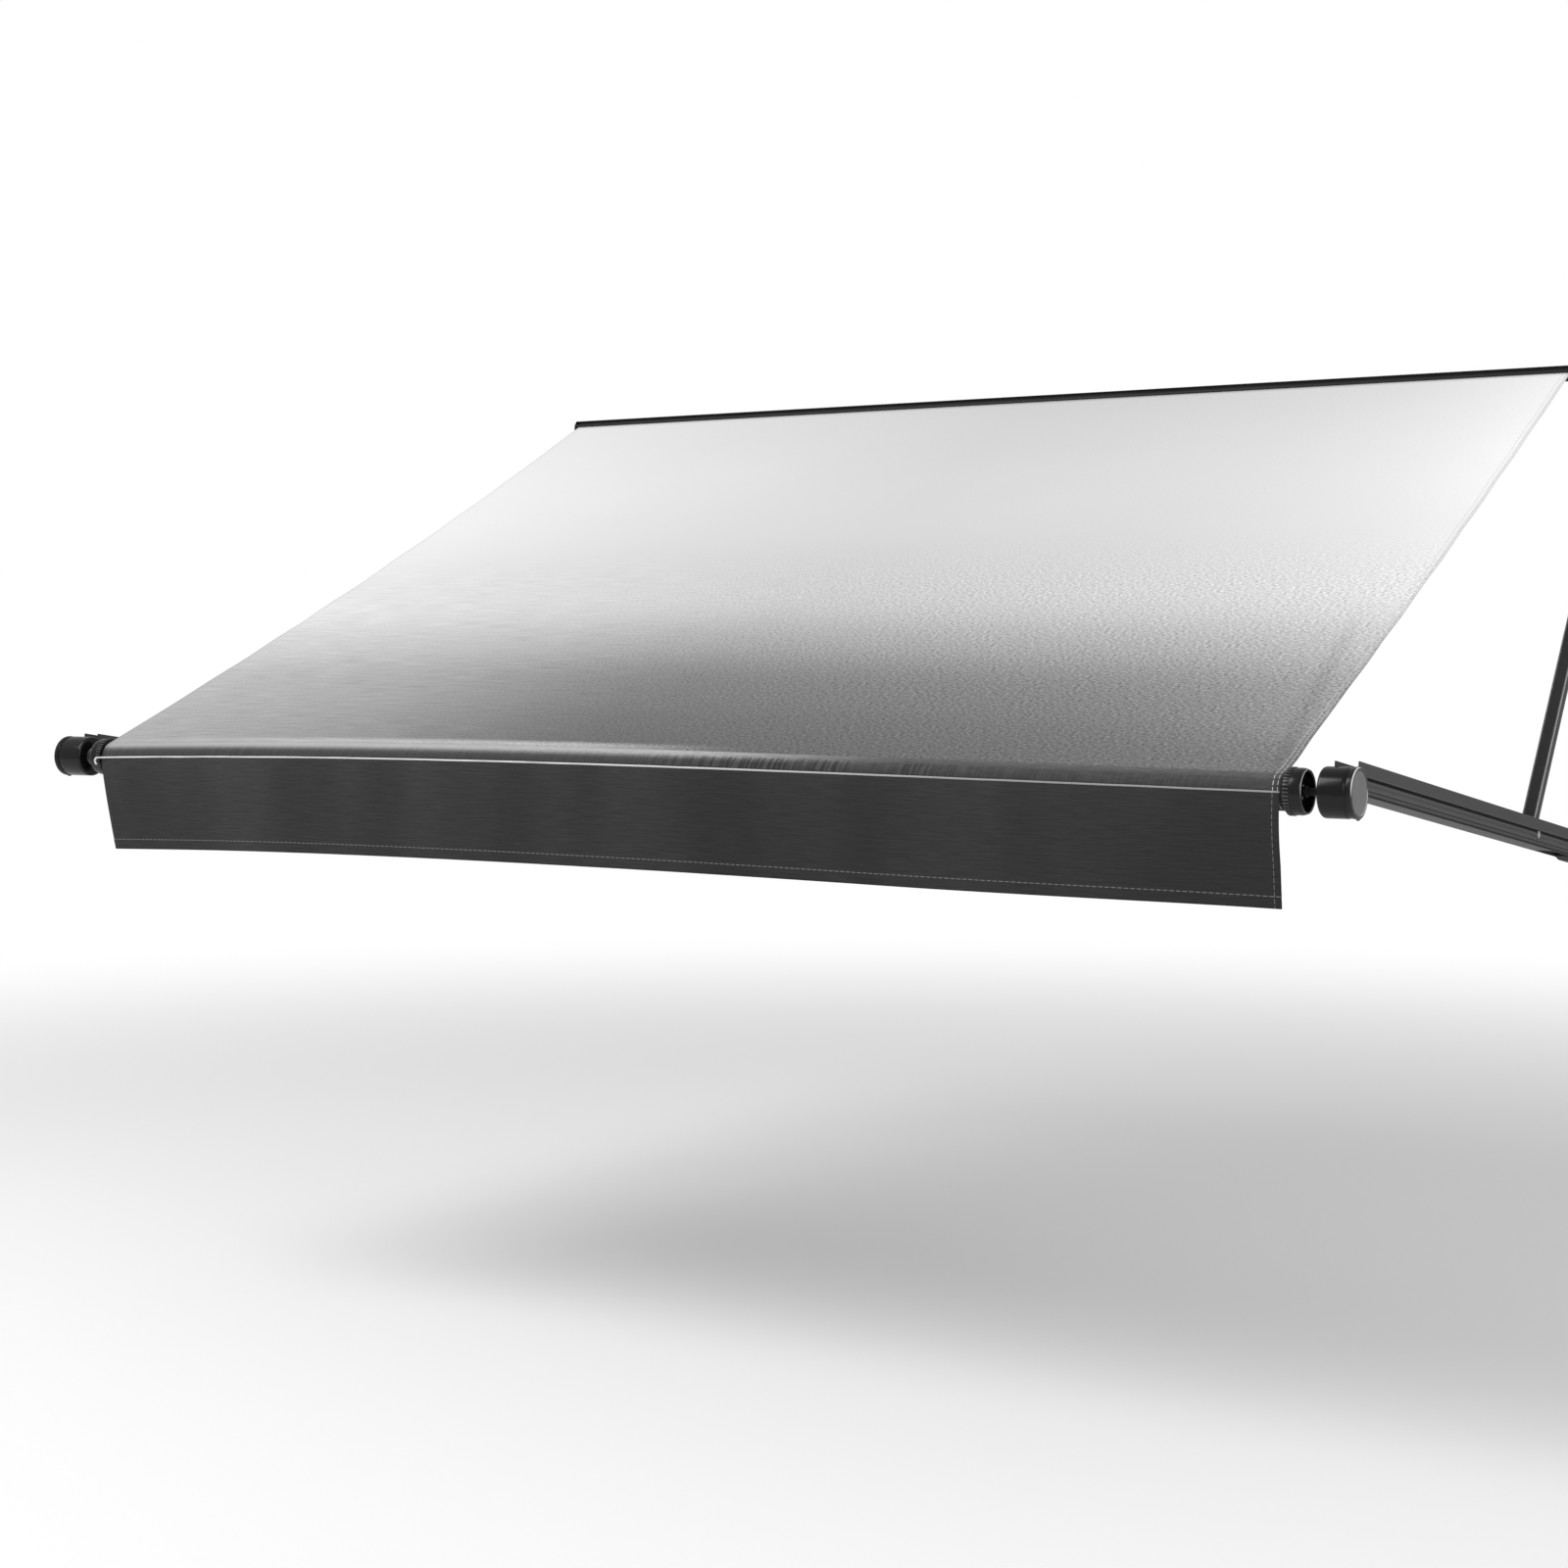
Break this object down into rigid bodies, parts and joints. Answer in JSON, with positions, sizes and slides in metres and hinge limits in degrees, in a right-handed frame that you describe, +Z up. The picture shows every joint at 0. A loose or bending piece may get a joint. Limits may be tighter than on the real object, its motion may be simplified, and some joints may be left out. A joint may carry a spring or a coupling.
{
  "type": "roll out awning",
  "caption": "Roll out awning with a grey canopy on a motor driven roller, a dark valance, folding channel arms with struts, and a slim wall rail",
  "frame": {"origin": "on the rail's back face at half its length, on the wall plane", "axes": "+X along the awning, +Y into the wall, +Z up"},
  "size_m": [3.7405, 2.2476, 1.375],
  "materials": {
    "rail_black": "satin black powder coat",
    "arm_anthracite": "satin anthracite powder coat",
    "black_plastic": "fine grained moulded plastic",
    "black_casting": "painted casting",
    "disc_grey": "plain mid grey cover",
    "bright_steel": "zinc plated",
    "dark_steel": "blackened",
    "tube_aluminium": "mill finish tube",
    "motor_zinc": "bare gearbox casting",
    "bearing_plastic": "plain bearing plastic",
    "canopy_cloth": "woven cloth, near white at the wall fading to dark grey at the roller",
    "valance_cloth": "charcoal woven cloth with a stitched hem",
    "white_cord": "light piping"
  },
  "bodies": {
    "wall_frame": {"awning_rail": "rail_black", "rail_screws": "bright_steel", "rail_end_caps": "black_plastic", "canopy_bead": "white_cord", "canopy": "canopy_cloth", "left_wall_channel": "arm_anthracite", "left_upper_bracket": "black_casting", "left_lower_bracket": "black_casting", "left_upper_pin": "bright_steel", "left_lower_pin": "bright_steel", "right_wall_channel": "arm_anthracite", "right_upper_bracket": "black_casting", "right_lower_bracket": "black_casting", "right_upper_pin": "bright_steel", "right_lower_pin": "bright_steel"},
    "left_strut_unit": {"left_strut": "arm_anthracite"},
    "right_strut_unit": {"right_strut": "arm_anthracite"},
    "left_arm_unit": {"left_arm": "arm_anthracite", "left_arm_foot": "black_plastic", "left_head_neck": "black_casting", "left_neck_bolts": "dark_steel", "left_head_drum": "black_plastic", "left_head_cover": "black_plastic", "left_head_disc": "disc_grey", "left_strut_bolt": "bright_steel", "left_link_bolt_heads": "bright_steel", "drive_motor": "motor_zinc"},
    "right_arm_unit": {"right_arm": "arm_anthracite", "right_arm_foot": "black_plastic", "right_head_neck": "black_casting", "right_neck_bolts": "dark_steel", "right_head_drum": "black_plastic", "right_head_cover": "black_plastic", "right_head_disc": "disc_grey", "right_strut_bolt": "bright_steel", "right_link_bolt_heads": "bright_steel", "idler_bearing": "bearing_plastic"},
    "left_link_unit": {"left_link_bars": "arm_anthracite", "left_link_pin": "bright_steel"},
    "right_link_unit": {"right_link_bars": "arm_anthracite", "right_link_pin": "bright_steel"},
    "roller_unit": {"roller_tube": "tube_aluminium", "cloth_roll": "canopy_cloth", "valance_piping": "white_cord", "valance": "valance_cloth", "left_collar": "black_plastic", "left_collar_screws": "bright_steel", "left_shaft": "bright_steel", "right_collar": "black_plastic", "right_collar_screws": "bright_steel", "right_shaft": "bright_steel"}
  },
  "joints": [
    {"name": "awning_fold", "type": "hinge", "parent": "wall_frame", "child": "left_strut_unit", "pos_m": [-1.829, -0.06, -0.26269], "axis": [1, 0, 0], "range_deg": [0, 37.32], "deforming": ["canopy"]},
    {"name": "left_arm_fold", "type": "hinge", "parent": "left_strut_unit", "child": "left_arm_unit", "pos_m": [-1.829, -0.886, -1.24707], "axis": [1, 0, 0], "range_deg": [-119.13, 0.01]},
    {"name": "roller_spin", "type": "hinge", "parent": "left_arm_unit", "child": "roller_unit", "pos_m": [-1.829, -2.193, -1.085], "axis": [1, 0, 0], "range_deg": [-0.5, 3322.3], "deforming": ["valance"]},
    {"name": "left_link_swing", "type": "hinge", "parent": "wall_frame", "child": "left_link_unit", "pos_m": [-1.829, -0.025, -1.2903], "axis": [1, 0, 0], "range_deg": [-0.01, 80.36]},
    {"name": "right_strut_fold", "type": "hinge", "parent": "wall_frame", "child": "right_strut_unit", "pos_m": [1.829, -0.06, -0.26269], "axis": [1, 0, 0], "range_deg": [-0.01, 37.33]},
    {"name": "right_arm_fold", "type": "hinge", "parent": "right_strut_unit", "child": "right_arm_unit", "pos_m": [1.829, -0.886, -1.24707], "axis": [1, 0, 0], "range_deg": [-119.13, 0.01]},
    {"name": "right_link_swing", "type": "hinge", "parent": "wall_frame", "child": "right_link_unit", "pos_m": [1.829, -0.025, -1.2903], "axis": [1, 0, 0], "range_deg": [-0.01, 80.36]}
  ],
  "couplings": [
    {"joint": "left_arm_fold", "follows": "awning_fold", "ratio": -3.1916},
    {"joint": "roller_spin", "follows": "awning_fold", "ratio": 89},
    {"joint": "left_link_swing", "follows": "awning_fold", "ratio": 2.1527},
    {"joint": "right_strut_fold", "follows": "awning_fold", "ratio": 1},
    {"joint": "right_arm_fold", "follows": "awning_fold", "ratio": -3.1916},
    {"joint": "right_link_swing", "follows": "awning_fold", "ratio": 2.1527}
  ]
}
